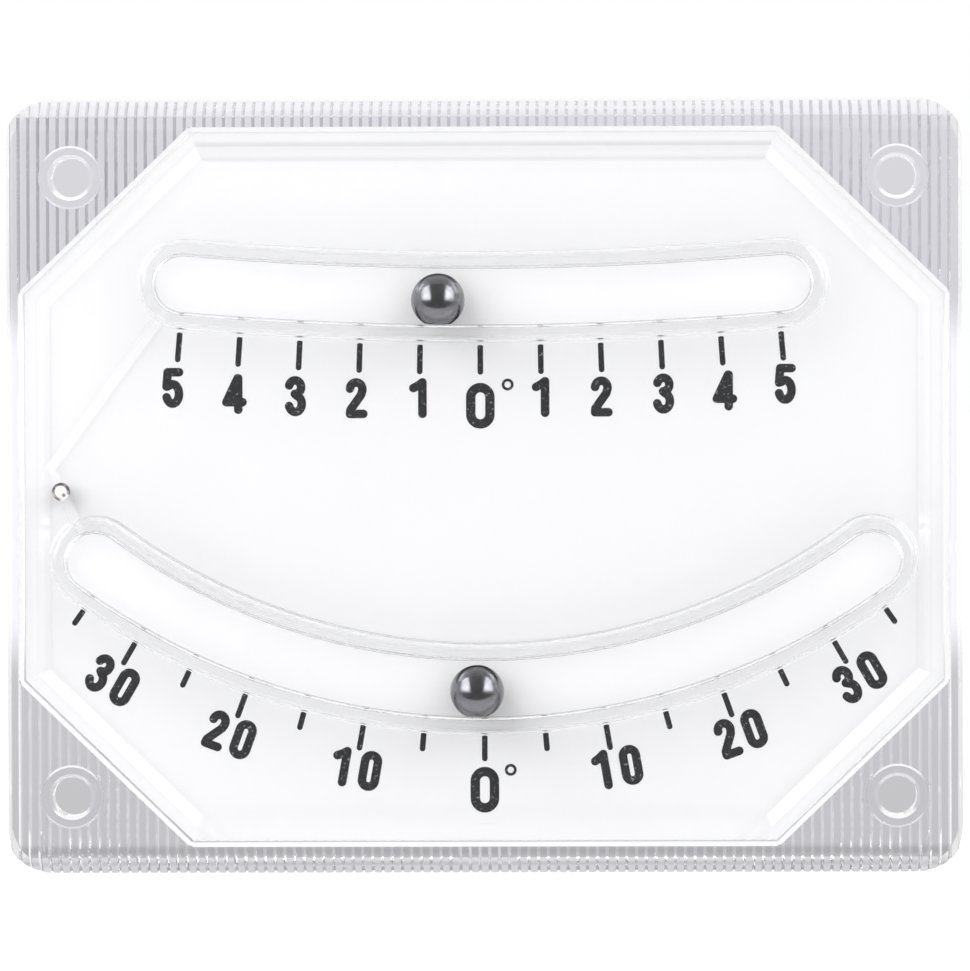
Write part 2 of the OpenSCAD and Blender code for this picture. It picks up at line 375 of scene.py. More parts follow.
def glint_edge_plastic():
    """Bevels of the bosses and the holes, with painted white highlights along their upper and lower
    arcs.
    """
    material, tree, shader = clear_plastic("glint_edge_plastic", GLINT_TINT, 0.1, 0.0, 0.9)
    x, _, z = object_axes(tree)
    up, off = off_screws(tree, x, z)
    rise = calc(tree, "DIVIDE", calc(tree, "ABSOLUTE", up), off)
    glint = calc(tree, "MULTIPLY", step_of(tree, rise, 0.45, 0.8), GLINT_SHARE)
    join(tree, calc(tree, "SUBTRACT", 1.0, glint), shader.inputs["Transmission Weight"])
    return material


def ridge_plastic():
    """The low ridge in front of the filling duct, which scatters the light a little."""
    material, _, shader = clear_plastic("duct_ridge_plastic", (0.99, 0.99, 1.0), 0.1, 0.0, 1.0)
    shader.inputs["Transmission Weight"].default_value = 0.88
    return material


DIAL_TONES = (0.93, 0.93, 0.945), (0.95, 0.95, 0.96)
# Grey of the dial's side faces: painted shade, which dims what the cover shows of them
EDGE_SHADE_GREY = (0.42, 0.42, 0.44)


def dial_white():
    """Matt white plastic sheet with a very fine tooth, and its side faces greyed as painted shade.
    """
    material, tree, output, shader = blank_material("dial_white_sheet")
    cloud = grain(tree, 0.05, detail=2.0, place=(-800, 250))
    face = two_tone(tree, cloud.outputs["Fac"], *DIAL_TONES)
    surface = add_node(tree, "ShaderNodeNewGeometry", (-1200, 500))
    axes = add_node(tree, "ShaderNodeSeparateXYZ", (-1000, 500))
    join(tree, surface.outputs["Normal"], axes.inputs[0])
    facing = step_of(tree, calc(tree, "ABSOLUTE", axes.outputs["Y"]), 0.3, 0.8)
    join(tree, two_tone(tree, facing, EDGE_SHADE_GREY, face), shader.inputs["Base Color"])
    shader.inputs["Roughness"].default_value = 0.55
    tooth = grain(tree, 6.0, place=(-800, -300))
    relief(tree, tooth.outputs["Fac"], shader, 0.01, strength=0.3)
    join(tree, shader.outputs[0], output.inputs["Surface"])
    return material


def scale_print():
    """Screen-printed charcoal ink, with pinholes where the white shows through."""
    material, tree, output, shader = blank_material("scale_print_ink")
    pinholes = grain(tree, 3.6, detail=1.5, rough=0.6, place=(-800, 250))
    holes = spread(tree, pinholes.outputs["Fac"], 0.62, 0.7, 0.0, 0.45, place=(-500, 250))
    colour = two_tone(tree, holes, (0.018, 0.018, 0.02), (0.5, 0.5, 0.5))
    join(tree, colour, shader.inputs["Base Color"])
    shader.inputs["Roughness"].default_value = 0.45
    relief(tree, pinholes.outputs["Fac"], shader, 0.01, strength=0.4)
    join(tree, shader.outputs[0], output.inputs["Surface"])
    return material


def ball_steel():
    """Polished dark steel, with faint lapping marks and a little haze."""
    material, tree, output, shader = blank_material("ball_polished_steel")
    tint = grain(tree, 0.6, detail=2.0, place=(-800, 250))
    colour = two_tone(tree, tint.outputs["Fac"], (0.2, 0.2, 0.215), (0.24, 0.24, 0.255))
    join(tree, colour, shader.inputs["Base Color"])
    shader.inputs["Metallic"].default_value = 1.0
    haze = grain(tree, 5.0, detail=4.0, place=(-800, -50))
    gloss = spread(tree, haze.outputs["Fac"], 0.3, 0.7, 0.16, 0.24, place=(-500, -50))
    join(tree, gloss, shader.inputs["Roughness"])
    join(tree, shader.outputs[0], output.inputs["Surface"])
    return material


# Where the resin's ring of painted shade is broken by a painted highlight, as a direction, and the
# middle of the dark speck inside it
RING_GAP = (0.57, -0.82)
SPECK_AT = (0.3, -0.36)
RESIN_TINT = (0.80, 0.77, 0.76)
RESIN_DARK = (0.1, 0.085, 0.085)


def plug_resin():
    """A drop of sealing resin: a dark ring of painted shade, broken at its lower right by a painted
    highlight, with a dark speck inside.
    """
    material, tree, output, shader = blank_material("plug_sealing_resin")
    x, _, z = object_axes(tree)
    right = calc(tree, "SUBTRACT", calc(tree, "MULTIPLY", x, 1000), PLUG_AT.x)
    up = calc(tree, "SUBTRACT", calc(tree, "MULTIPLY", z, 1000), PLUG_AT.y)
    radius = length_of(tree, right, up)
    towards_gap = calc(
        tree, "ADD", calc(tree, "MULTIPLY", right, RING_GAP[0]),
        calc(tree, "MULTIPLY", up, RING_GAP[1]),
    )
    gap = step_of(tree, calc(tree, "DIVIDE", towards_gap, radius), 0.7, 0.92)
    mottle = grain(tree, 1.6, detail=3.0, place=(-800, 0))
    broken = spread(tree, mottle.outputs["Fac"], 0.35, 0.55, 0.5, 1.0, place=(-600, 0))
    # The ring is painted shade, and its lighter gap a painted highlight
    ring = calc(tree, "MULTIPLY", step_of(tree, radius, 0.52, 0.7), broken)
    ring = calc(tree, "MULTIPLY", ring, blend(tree, 1.0, 0.1, gap))
    off_speck = length_of(
        tree, calc(tree, "SUBTRACT", right, SPECK_AT[0]), calc(tree, "SUBTRACT", up, SPECK_AT[1])
    )
    speck = calc(tree, "MULTIPLY", step_of(tree, off_speck, 0.3, 0.12), 0.8)
    dark = calc(tree, "MAXIMUM", ring, speck)
    join(tree, two_tone(tree, dark, RESIN_TINT, RESIN_DARK), shader.inputs["Base Color"])
    shader.inputs["Roughness"].default_value = 0.2
    shader.inputs["IOR"].default_value = 1.5
    relief(tree, mottle.outputs["Fac"], shader, 0.05)
    join(tree, shader.outputs[0], output.inputs["Surface"])
    return material


# --- cover ---

MERGE_REACH = 0.0005
SHARP_FROM = 32


def merged_copy(node, name):
    """A new object with the node's shape, its loose triangles joined and shaded smooth."""
    mesh = frame["nodes"][node].data.copy()
    shape = bmesh.new()
    shape.from_mesh(mesh)
    bmesh.ops.remove_doubles(shape, verts=shape.verts, dist=mm(MERGE_REACH))
    shape.to_mesh(mesh)
    shape.free()
    for attribute in [a.name for a in mesh.attributes if a.name.startswith("custom_normal")]:
        mesh.attributes.remove(mesh.attributes[attribute])
    mesh.materials.clear()
    mesh.shade_smooth()
    mesh.set_sharp_from_angle(angle=math.radians(SHARP_FROM))
    copy = bpy.data.objects.new(name, mesh)
    bpy.context.scene.collection.objects.link(copy)
    return copy


# How far a new corner may move to lie on the true curve, and for each round of splits the
# cuts in an edge and the length from which it is cut
LAY_REACH = 0.08
SPLITS = [(3, 1.5), (1, 0.5)]
# Tolerance round a zone, and how well a channel's face agrees with its true normal
NEAR = 0.02
AGREES = 0.93
CHANNELS = [
    (UPPER_CENTRE, UPPER_RADIUS, UPPER_HALF_ANGLE),
    (LOWER_CENTRE, LOWER_RADIUS, LOWER_HALF_ANGLE),
]


def off_channel(x, z, centre, radius, half_angle):
    """Distances of points from a channel's middle line, and the way out from it."""
    angle = np.arctan2(x - centre.x, centre.y - z)
    held = np.clip(angle, -math.radians(half_angle), math.radians(half_angle))
    out_x = x - centre.x - radius * np.sin(held)
    out_z = z - centre.y + radius * np.cos(held)
    off = np.hypot(out_x, out_z)
    return off, out_x / np.maximum(off, 1e-9), out_z / np.maximum(off, 1e-9)


def distance_to_duct(x, z):
    """Distances of points on the dial from the filling duct's middle line."""
    nearest = np.full(x.shape, np.inf)
    for start, end in zip(DUCT[:-1], DUCT[1:]):
        step = end - start
        share = ((x - start.x) * step.x + (z - start.y) * step.y) / step.length_squared
        share = np.clip(share, 0, 1)
        off = np.hypot(x - start.x - share * step.x, z - start.y - share * step.y)
        nearest = np.minimum(nearest, off)
    return nearest


def face_columns(mesh, name):
    """The faces' centres or normals as x, y, z columns."""
    values = np.empty(len(mesh.polygons) * 3)
    mesh.polygons.foreach_get(name, values)
    return values.reshape(-1, 3).T


def section_normal(off, height, half, front, corner, foot=0.0):
    """Outward normals of a channel's section, as their shares across it and forwards."""
    on_corner = height > front - corner
    across = np.where(on_corner, np.maximum(off - half + corner, 0), 1.0)
    forwards = np.where(on_corner, np.maximum(height - front + corner, 0), 0.0)
    on_foot = height < PANEL_FRONT + foot
    if foot:
        across = np.where(on_foot, np.maximum(half + foot - off, 0), across)
        forwards = np.where(on_foot, PANEL_FRONT + foot - height, forwards)
    length = np.maximum(np.hypot(across, forwards), 1e-9)
    return across / length, forwards / length


def channel_normals(x, y, z, channel, inside):
    """Exact normals at points on a channel's outer faces, or on those of its cavity."""
    off, out_x, out_z = off_channel(x, z, *channel)
    if inside:
        across, forwards = section_normal(off, -y, CAVITY_HALF, CAVITY_FRONT, CAVITY_ROUND)
        across, forwards = -across, -forwards
    else:
        across, forwards = section_normal(
            off, -y, CHANNEL_HALF, CHANNEL_FRONT, CHANNEL_ROUND, CHANNEL_FOOT
        )
    return np.stack([across * out_x, -forwards, across * out_z])


def from_screws(x, z):
    """Distances of points from the nearest screw hole's middle."""
    return np.hypot(np.abs(x) - SCREWS_AT.x, np.abs(z) - SCREWS_AT.y)


def laid_on_section(off, height, half, front, corner, foot=0.0):
    """The points of a channel's section that lie nearest to points close to it."""
    across, forwards = section_normal(off, height, half, front, corner, foot)
    on_corner = (height > front - corner) & (off > half - corner)
    on_front = (height > front - corner) & ~on_corner
    on_foot = (height < PANEL_FRONT + foot) if foot else np.zeros(off.shape, dtype=bool)
    new_off = np.where(on_front, off, half)
    new_height = np.where(on_front, front, height)
    new_off = np.where(on_corner, half - corner + corner * across, new_off)
    new_height = np.where(on_corner, front - corner + corner * forwards, new_height)
    new_off = np.where(on_foot, half + foot - foot * across, new_off)
    new_height = np.where(on_foot, PANEL_FRONT + foot - foot * forwards, new_height)
    return new_off, new_height


def laid_on_channels(points):
    """Points in millimetres moved on to the nearest channel face, if it's very close."""
    x, y, z = points
    best = np.full(x.shape, LAY_REACH)
    result = points.copy()
    for channel in CHANNELS:
        off, out_x, out_z = off_channel(x, z, *channel)
        for section in (
            (CAVITY_HALF, CAVITY_FRONT, CAVITY_ROUND),
            (CHANNEL_HALF, CHANNEL_FRONT, CHANNEL_ROUND, CHANNEL_FOOT),
        ):
            new_off, new_height = laid_on_section(off, -y, *section)
            moved = np.hypot(new_off - off, new_height + y)
            nearer = moved < best
            best = np.where(nearer, moved, best)
            step = new_off - off
            laid = np.stack([x + step * out_x, -new_height, z + step * out_z])
            result[:, nearer] = laid[:, nearer]
    return result


def channel_faces(centre, normal):
    """For each channel, outside and inside: which faces lie on it."""
    x, y, z = centre
    for channel in CHANNELS:
        off, _, _ = off_channel(x, z, *channel)
        for inside in (False, True):
            if inside:
                zone = (off < CAVITY_HALF + NEAR) & (y > -CAVITY_FRONT - NEAR) & (y < -DIAL_FRONT)
            else:
                zone = (off < CHANNEL_HALF + CHANNEL_FOOT + NEAR) & (y < -PANEL_FRONT - 0.001)
                zone &= (off > CAVITY_HALF + NEAR) | (y < -CAVITY_FRONT - 0.5)
            expected = channel_normals(x, y, z, channel, inside)
            yield channel, inside, zone & ((expected * normal).sum(0) > AGREES)


def refine_channels(mesh):
    """Splits the channels' long faces, and lays the new corners on the true curves."""
    shape = bmesh.new()
    shape.from_mesh(mesh)
    for cuts, longest in SPLITS:
        faces = list(shape.faces)
        centre = np.array([tuple(face.calc_center_median()) for face in faces]).T * 1000
        normal = np.array([tuple(face.normal) for face in faces]).T
        on_channel = np.zeros(len(faces), dtype=bool)
        for _, _, zone in channel_faces(centre, normal):
            on_channel |= zone
        on_channel &= np.abs(normal[1]) < 0.9999
        edges = {
            edge for face, chosen in zip(faces, on_channel) if chosen
            for edge in face.edges if edge.calc_length() > mm(longest)
        }
        split = bmesh.ops.subdivide_edges(shape, edges=list(edges), cuts=cuts)
        added = [item for item in split["geom_inner"] if isinstance(item, bmesh.types.BMVert)]
        places = laid_on_channels(np.array([tuple(vert.co) for vert in added]).T * 1000)
        for vert, place in zip(added, places.T):
            vert.co = mm(*place)
        bmesh.ops.triangulate(shape, faces=shape.faces)
        shape.normal_update()
    shape.to_mesh(mesh)
    shape.free()


# Where the cover's outer corners start, across and up
ROUNDED_FROM = (44, 34.7)


def set_exact_normals(mesh):
    """Flat faces shade flat, the channels shade as true curves, and other curves smoothly."""
    centre = face_columns(mesh, "center") * 1000
    normal = face_columns(mesh, "normal")
    loops = len(mesh.loops)
    sides = np.empty(len(mesh.polygons), dtype=np.int32)
    mesh.polygons.foreach_get("loop_total", sides)
    face_of_loop = np.repeat(np.arange(len(sides)), sides)
    vertex_of_loop = np.empty(loops, dtype=np.int32)
    mesh.loops.foreach_get("vertex_index", vertex_of_loop)
    places = np.empty(len(mesh.vertices) * 3)
    mesh.vertices.foreach_get("co", places)
    corner = places.reshape(-1, 3).T[:, vertex_of_loop] * 1000

    x, y, z = centre
    turned = np.abs(normal[1]) < 0.995
    near_round = from_screws(x, z) < BOSS_RADIUS + 0.05
    near_round |= np.hypot(x - PLUG_AT.x, z - PLUG_AT.y) < 1.0
    near_round |= np.hypot(x - GATE_AT.x, z - GATE_AT.y) < GATE_RADIUS + 0.05
    near_round |= (np.abs(x) > ROUNDED_FROM[0]) & (np.abs(z) > ROUNDED_FROM[1])
    smooth = near_round & turned
    result = normal[:, face_of_loop].copy()
    result[:, smooth[face_of_loop]] = 0
    for channel, inside, zone in channel_faces(centre, normal):
        chosen = zone[face_of_loop]
        result[:, chosen] = channel_normals(*corner[:, chosen], channel, inside)
    mesh.normals_split_custom_set(result.T.tolist())


WINDOW, FLANGE, CAVITY, CHANNEL_SIDE, CREST, GROOVE, GLINT_EDGE, SLOPE, RIDGE = range(9)
# How far forwards the normals of the window's slope point, from the steepest to the flattest
SLOPE_TILT = (0.8, 0.97)


def cover_zones(mesh):
    """Which of the cover's finishes each face has."""
    x, y, z = face_columns(mesh, "center") * 1000
    nx, ny, nz = face_columns(mesh, "normal")
    reach = np.maximum(np.abs(x) / WINDOW_HALF.x, np.abs(z) / WINDOW_HALF.y)
    corner = (
        (np.abs(x) - WINDOW_HALF.x) / WINDOW_CUT.x + (np.abs(z) - WINDOW_HALF.y) / WINDOW_CUT.y
    )
    outside = (reach > 0.999) | (corner > -0.999)
    before_panel = y < -PANEL_FRONT - NEAR
    to_front, to_side = ny < -0.99, np.abs(nx) > 0.6
    zones = np.full(len(x), WINDOW)
    tilted = (np.abs(ny) > SLOPE_TILT[0]) & (np.abs(ny) < SLOPE_TILT[1])
    zones[before_panel & tilted] = SLOPE
    zones[outside] = FLANGE
    in_front = outside & (y < -FLANGE_FRONT + 0.3)
    zones[in_front & to_front] = CREST
    zones[outside & (y < -1.0) & to_side & (np.abs(ny) > 0.3)] = GROOVE
    # The drafted lower sides take the crests' grey, painted shade that dims their glints
    zones[outside & (z < LOWER_DRAFT_FROM) & to_side] = CREST
    off_hole = from_screws(x, z)
    # The boss bevels take the finish with painted highlights
    zones[(off_hole < BOSS_RADIUS + NEAR) & in_front & (np.abs(ny) < 0.9)] = GLINT_EDGE
    zones[(off_hole < HOLE_RADIUS + NEAR) & (np.abs(ny) < 0.1)] = FLANGE
    in_duct = (distance_to_duct(x, z) < DUCT_REACH) & (y > -PANEL_FRONT + 0.1)
    zones[in_duct & (y < -DIAL_FRONT - 0.1)] = CAVITY
    on_ridge = distance_to_duct(x, z) < RIDGE_HALF + NEAR
    on_ridge &= before_panel & (y > -PANEL_FRONT - RIDGE_RISE - NEAR)
    zones[on_ridge & ~outside & (to_front | (np.abs(ny) < 0.3))] = RIDGE
    for channel in CHANNELS:
        off, _, _ = off_channel(x, z, *channel)
        on_side = off < CHANNEL_HALF + CHANNEL_FOOT + NEAR
        zones[on_side & before_panel & (np.abs(ny) < 0.6)] = CHANNEL_SIDE
        zones[(off < CAVITY_HALF + NEAR) & (y > -CAVITY_FRONT - NEAR)] = CAVITY
    return zones


def clear_cover():
    cover = merged_copy("clear_cover", "moulded_clear_cover")
    refine_channels(cover.data)
    flange, _, _ = clear_plastic("flange_plastic", PLAIN_CLEAR, 0.04, 0.01, 0.9)
    cavity, _, _ = clear_plastic("inner_channel_wall", (0.99, 0.99, 0.995), 0.02, 0.0, 1.0)
    side, _, _ = clear_plastic("channel_side_plastic", (0.995, 0.995, 0.995), 0.02, 0.0, 0.96)
    for material in (
        window_plastic("clear_window_plastic", 0.02), flange, cavity, side, crest_plastic(),
        groove_plastic(), glint_edge_plastic(), window_plastic("window_slope_plastic", 0.12),
        ridge_plastic(),
    ):
        cover.data.materials.append(material)
    zones = cover_zones(cover.data).astype(np.int32)
    cover.data.polygons.foreach_set("material_index", zones)
    set_exact_normals(cover.data)
    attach(cover, "housing")
    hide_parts("clear_cover")


# --- balls ---

def lapped_ball(name, node, body, material):
    """A fine ball of even faces, in the place of its node."""
    low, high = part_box(node)
    shape = bmesh.new()
    bmesh.ops.create_icosphere(shape, subdivisions=5, radius=mm(BALL_DIAMETER / 2))
    bmesh.ops.translate(shape, verts=shape.verts, vec=(low + high) / 2)
    for face in shape.faces:
        face.smooth = True
    mesh = bpy.data.meshes.new(name)
    shape.to_mesh(mesh)
    shape.free()
    mesh.materials.append(material)
    ball = bpy.data.objects.new(name, mesh)
    bpy.context.scene.collection.objects.link(ball)
    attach(ball, body)
    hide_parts(node)


# --- printed figures ---

PEN_RADIUS = 0.44
INK_LIFT = 0.005
INK_THICKNESS = 0.02
OUTLINE_STEP = 0.06
SPACE_AROUND = 0.2


def bend(centre, radii, start, stop, count=14):
    """Points of an elliptical arc, with its angles in degrees from the right, upwards."""
    return [
        (
            centre[0] + radii[0] * math.cos(math.radians(start + (stop - start) * i / count)),
            centre[1] + radii[1] * math.sin(math.radians(start + (stop - start) * i / count)),
        )
        for i in range(count + 1)
    ]


def loop(half_width, half_height):
    """A closed upright oval with straight flanks."""
    straight = half_height - half_width
    top = bend((0, straight), (half_width, half_width), 0, 180)
    return top + [(-x, -y) for x, y in top] + top[:1]


# Pen paths of the figures, about each figure's own middle
FIGURES = {
    "figure_0": [loop(0.66, 1.62)],
    "figure_1": [[(-0.62, 1.02), (-0.1, 1.3), (0.3, 1.6), (0.3, -1.62)]],
    "figure_2": [
        bend((0, 0.92), (0.64, 0.7), 175, -15)
        + [(0.5, 0.35), (-0.6, -1.2), (-0.64, -1.6), (0.72, -1.6)]
    ],
    "figure_3": [
        bend((-0.02, 0.92), (0.62, 0.7), 165, -70) + [(-0.05, 0.22)]
        + bend((0, -0.78), (0.66, 0.84), 75, -165)
    ],
    "figure_4": [[(0.3, 1.6), (-0.85, -0.85), (0.8, -0.85)], [(0.36, 1.6), (0.36, -1.62)]],
    "figure_5": [
        [(0.66, 1.6), (-0.5, 1.6), (-0.62, 0.12)]
        + bend((0, -0.62), (0.66, 1.0), 125, -160)
    ],
    "figure_8_zero": [loop(0.98, 1.86)],
    "figure_9_degree": [bend((0, 0), (0.47, 0.47), 0, 360, 28)],
}
FIGURE_NAMES = sorted(FIGURES)
BIG_ZERO = FIGURE_NAMES.index("figure_8_zero")
DEGREE = FIGURE_NAMES.index("figure_9_degree")
THIN_PEN = {"figure_9_degree": 0.14, "figure_8_zero": 0.48}


def pen_distance(x, y, strokes):
    """Distance of each grid point from the nearest pen path."""
    nearest = np.full(x.shape, np.inf)
    for stroke in strokes:
        for (ax, ay), (bx, by) in zip(stroke[:-1], stroke[1:]):
            dx, dy = bx - ax, by - ay
            along = ((x - ax) * dx + (y - ay) * dy) / max(dx * dx + dy * dy, 1e-9)
            along = np.clip(along, 0, 1)
            nearest = np.minimum(nearest, np.hypot(x - ax - along * dx, y - ay - along * dy))
    return nearest


def inked_outline(strokes, pen):
    """Corner points and edges round all that a round pen of that radius covers."""
    points = np.concatenate([np.array(stroke) for stroke in strokes])
    low, high = points.min(0) - pen - SPACE_AROUND, points.max(0) + pen + SPACE_AROUND
    xs = np.arange(low[0], high[0], OUTLINE_STEP)
    ys = np.arange(low[1], high[1], OUTLINE_STEP)
    field = pen_distance(*np.meshgrid(xs, ys, indexing="ij"), strokes) - pen
    corners, places, edges = [], {}, []

    def crossing(p, q):
        if (p, q) not in places:
            share = field[p] / (field[p] - field[q])
            places[p, q] = len(corners)
            corners.append(Vector((
                xs[p[0]] + share * (xs[q[0]] - xs[p[0]]),
                ys[p[1]] + share * (ys[q[1]] - ys[p[1]]),
            )))
        return places[p, q]

    for i, j in np.ndindex(len(xs) - 1, len(ys) - 1):
        # The cell's diagonal makes two triangles, and each is crossed once or not at all
        for triangle in (
            ((i, j), (i + 1, j), (i + 1, j + 1)), ((i, j), (i, j + 1), (i + 1, j + 1))
        ):
            sides = [(triangle[a], triangle[b]) for a, b in ((0, 1), (1, 2), (0, 2))]
            cut = [crossing(p, q) for p, q in sides if (field[p] < 0) != (field[q] < 0)]
            if cut:
                edges.append(tuple(cut))
    return corners, edges


def figure_shape(name):
    """A figure's thin inked solid, upright on the dial, about its own middle."""
    strokes, pen = FIGURES[name], THIN_PEN.get(name, PEN_RADIUS)
    corners, edges = inked_outline(strokes, pen)
    flat, _, faces, *_ = delaunay_2d_cdt(corners, edges, [], 0, 1e-6)
    middles = np.array([sum((flat[i] for i in f), Vector((0, 0))) / len(f) for f in faces])
    inside = pen_distance(middles[:, 0], middles[:, 1], strokes) < pen
    shape = bmesh.new()
    verts = [shape.verts.new(mm(p.x, 0, p.y)) for p in flat]
    for face, keep in zip(faces, inside):
        if keep:
            shape.faces.new([verts[i] for i in face])
    bmesh.ops.delete(shape, geom=[v for v in shape.verts if not v.link_faces], context="VERTS")
    front = bmesh.ops.extrude_face_region(shape, geom=list(shape.faces))["geom"]
    lifted = [v for v in front if isinstance(v, bmesh.types.BMVert)]
    bmesh.ops.translate(shape, verts=lifted, vec=mm(0, -INK_THICKNESS, 0))
    bmesh.ops.recalc_face_normals(shape, faces=shape.faces)
    mesh = bpy.data.meshes.new(name)
    shape.to_mesh(mesh)
    shape.free()
    return bpy.data.objects.new(name, mesh)


# Middles of the upper figures on the dial
UPPER_FIGURES = [
    (5, 30.79, 10.42), (4, 24.66, 9.76), (3, 18.36, 9.45), (2, 12.01, 9.16), (1, 5.96, 9.14),
    (BIG_ZERO, -0.36, 8.25), (DEGREE, 2.44, 10.41),
    (1, -6.58, 9.06), (2, -13.05, 9.05), (3, -19.28, 9.28), (4, -25.48, 9.53), (5, -31.83, 10.16),
]
# Angle of each two-figure number on the lower scale, and of its figures to either side of it
LOWER_NUMBERS = [(-30, -30.1), (-20, -20.1), (-10, -10.0), (10, 10.25), (20, 20.15), (30, 30.3)]
LOWER_FIGURES_RADIUS = 76.0
FIGURE_SPREAD = 1.1
LOWER_ZERO = (0.0, -31.03)
LOWER_DEGREE = (2.65, -29.0)


def figure_places():
    """Every figure on the dial: which one, its middle, and its turn in degrees."""
    places = [(which, x, z, 0.0) for which, x, z in UPPER_FIGURES]
    for number, middle in LOWER_NUMBERS:
        for which, side in ((abs(number) // 10, -1), (0, 1)):
            angle = math.radians(middle + side * FIGURE_SPREAD)
            out = Vector((math.sin(angle), -math.cos(angle)))
            place = LOWER_CENTRE + out * LOWER_FIGURES_RADIUS
            places.append((which, place.x, place.y, float(number)))
    places.append((BIG_ZERO, *LOWER_ZERO, 0.0))
    places.append((DEGREE, *LOWER_DEGREE, 0.0))
    return places


def figure_tree():
    """A node group that stands a chosen figure on each point and turns it."""
    tree = bpy.data.node_groups.new("place_dial_figures", "GeometryNodeTree")
    for name, kind in (
        ("Geometry", "NodeSocketGeometry"), ("Figures", "NodeSocketCollection"),
        ("Ink", "NodeSocketMaterial"),
    ):
        tree.interface.new_socket(name, in_out="INPUT", socket_type=kind)
    tree.interface.new_socket("Geometry", in_out="OUTPUT", socket_type="NodeSocketGeometry")
    given = add_node(tree, "NodeGroupInput", (-600, 0))
    result = add_node(tree, "NodeGroupOutput", (800, 0))
    which = add_node(
        tree, "GeometryNodeInputNamedAttribute", (-400, -250), {"data_type": "FLOAT"}, Name="figure"
    )
    turn = add_node(
        tree, "GeometryNodeInputNamedAttribute", (-600, -400), {"data_type": "FLOAT"}, Name="turn"
    )
    lean = add_node(tree, "ShaderNodeCombineXYZ", (-400, -400))
    figures = add_node(tree, "GeometryNodeCollectionInfo", (-400, -50))
    figures.inputs["Separate Children"].default_value = True
    figures.inputs["Reset Children"].default_value = True
    stand = add_node(tree, "GeometryNodeInstanceOnPoints", (0, 0))
    stand.inputs["Pick Instance"].default_value = True
    real = add_node(tree, "GeometryNodeRealizeInstances", (300, 0))
    ink = add_node(tree, "GeometryNodeSetMaterial", (550, 0))
    join(tree, given.outputs["Geometry"], stand.inputs["Points"])
    join(tree, given.outputs["Figures"], figures.inputs["Collection"])
    join(tree, figures.outputs[0], stand.inputs["Instance"])
    join(tree, which.outputs["Attribute"], stand.inputs["Instance Index"])
    join(tree, turn.outputs["Attribute"], lean.inputs["Y"])
    join(tree, lean.outputs[0], stand.inputs["Rotation"])
    join(tree, stand.outputs[0], real.inputs[0])
    join(tree, real.outputs[0], ink.inputs["Geometry"])
    join(tree, given.outputs["Ink"], ink.inputs["Material"])
    join(tree, ink.outputs[0], result.inputs[0])
    return tree


def grown(carrier, tree, name, values):
    """The plain mesh that the tree makes from the carrier, as a new object."""
    modifier = carrier.modifiers.new("grow", "NODES")
    modifier.node_group = tree
    for item in tree.interface.items_tree:
        if item.item_type == "SOCKET" and item.in_out == "INPUT" and item.name in values:
            modifier[item.identifier] = values[item.name]
    graph = bpy.context.evaluated_depsgraph_get()
    mesh = bpy.data.meshes.new_from_object(carrier.evaluated_get(graph))
    carrier.modifiers.remove(modifier)
    bpy.data.objects.remove(carrier)
    mesh.name = name
    piece = bpy.data.objects.new(name, mesh)
    bpy.context.scene.collection.objects.link(piece)
    return piece


def dial_figures(ink):
    shelf = bpy.data.collections.new("dial_figure_shapes")
    for name in FIGURE_NAMES:
        shelf.objects.link(figure_shape(name))
    places = figure_places()
    points = bpy.data.meshes.new("figure_places")
    ink_back = -DIAL_FRONT - INK_LIFT
    points.from_pydata([mm(x, ink_back, z) for _, x, z, _ in places], [], [])
    chosen = points.attributes.new("figure", "FLOAT", "POINT")
    turned = points.attributes.new("turn", "FLOAT", "POINT")
    for i, (which, _, _, turn) in enumerate(places):
        chosen.data[i].value = which
        turned.data[i].value = -math.radians(turn)
    carrier = bpy.data.objects.new("figure_places", points)
    bpy.context.scene.collection.objects.link(carrier)
    values = {"Figures": shelf, "Ink": ink}
    figures = grown(carrier, figure_tree(), "dial_figures", values)
    for source in list(shelf.objects):
        bpy.data.objects.remove(source)
    bpy.data.collections.remove(shelf)
    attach(figures, "housing")


def refinish(node, material):
    """A CAD node with a better finish."""
    for slot in frame["nodes"][node].material_slots:
        slot.material = material


# --- studio ---

AMBIENT = 0.75
TENT_FILL_BELOW = 0.98
TENT_FILL_ABOVE = 1.42
TENT_RADIUS = 1500
ROOM_LEVEL, ROOM_SIDE_LEVEL = 0.17, 0.6
TABLE_LEVEL = 1.3
TABLE_TILT = 0.73
# Middle and half size of the softboxes, across and up, as directions from the part
SOFTBOX_AT = (0.73, 0.42)
SOFTBOX_HALF = (0.26, 0.46)
SOFTBOX_LEVEL = 5.6
LAMP_AT = (520, -560, 360)
LAMP_SIZE = (760, 760)
LAMP_POWER = 4.4


def studio_world():
    """White for the camera and for what shines or lets through, and a plain ambient level."""
    world = bpy.data.worlds.new("studio_white")
    bpy.context.scene.world = world
    world.use_nodes = True
    tree = world.node_tree
    tree.nodes.clear()
    output = add_node(tree, "ShaderNodeOutputWorld", (800, 0))
    background = add_node(tree, "ShaderNodeBackground", (600, 0), Color=(1, 1, 1, 1))
    path = add_node(tree, "ShaderNodeLightPath", (-800, 0))
    seen = calc(tree, "MAXIMUM", path.outputs["Is Camera Ray"], path.outputs["Is Glossy Ray"])
    seen = calc(tree, "MAXIMUM", seen, path.outputs["Is Transmission Ray"])
    first = calc(tree, "LESS_THAN", path.outputs["Diffuse Depth"], 0.5)
    level = blend(tree, AMBIENT, 1.0, calc(tree, "MULTIPLY", seen, first))
    join(tree, level, background.inputs["Strength"])
    join(tree, background.outputs[0], output.inputs["Surface"])


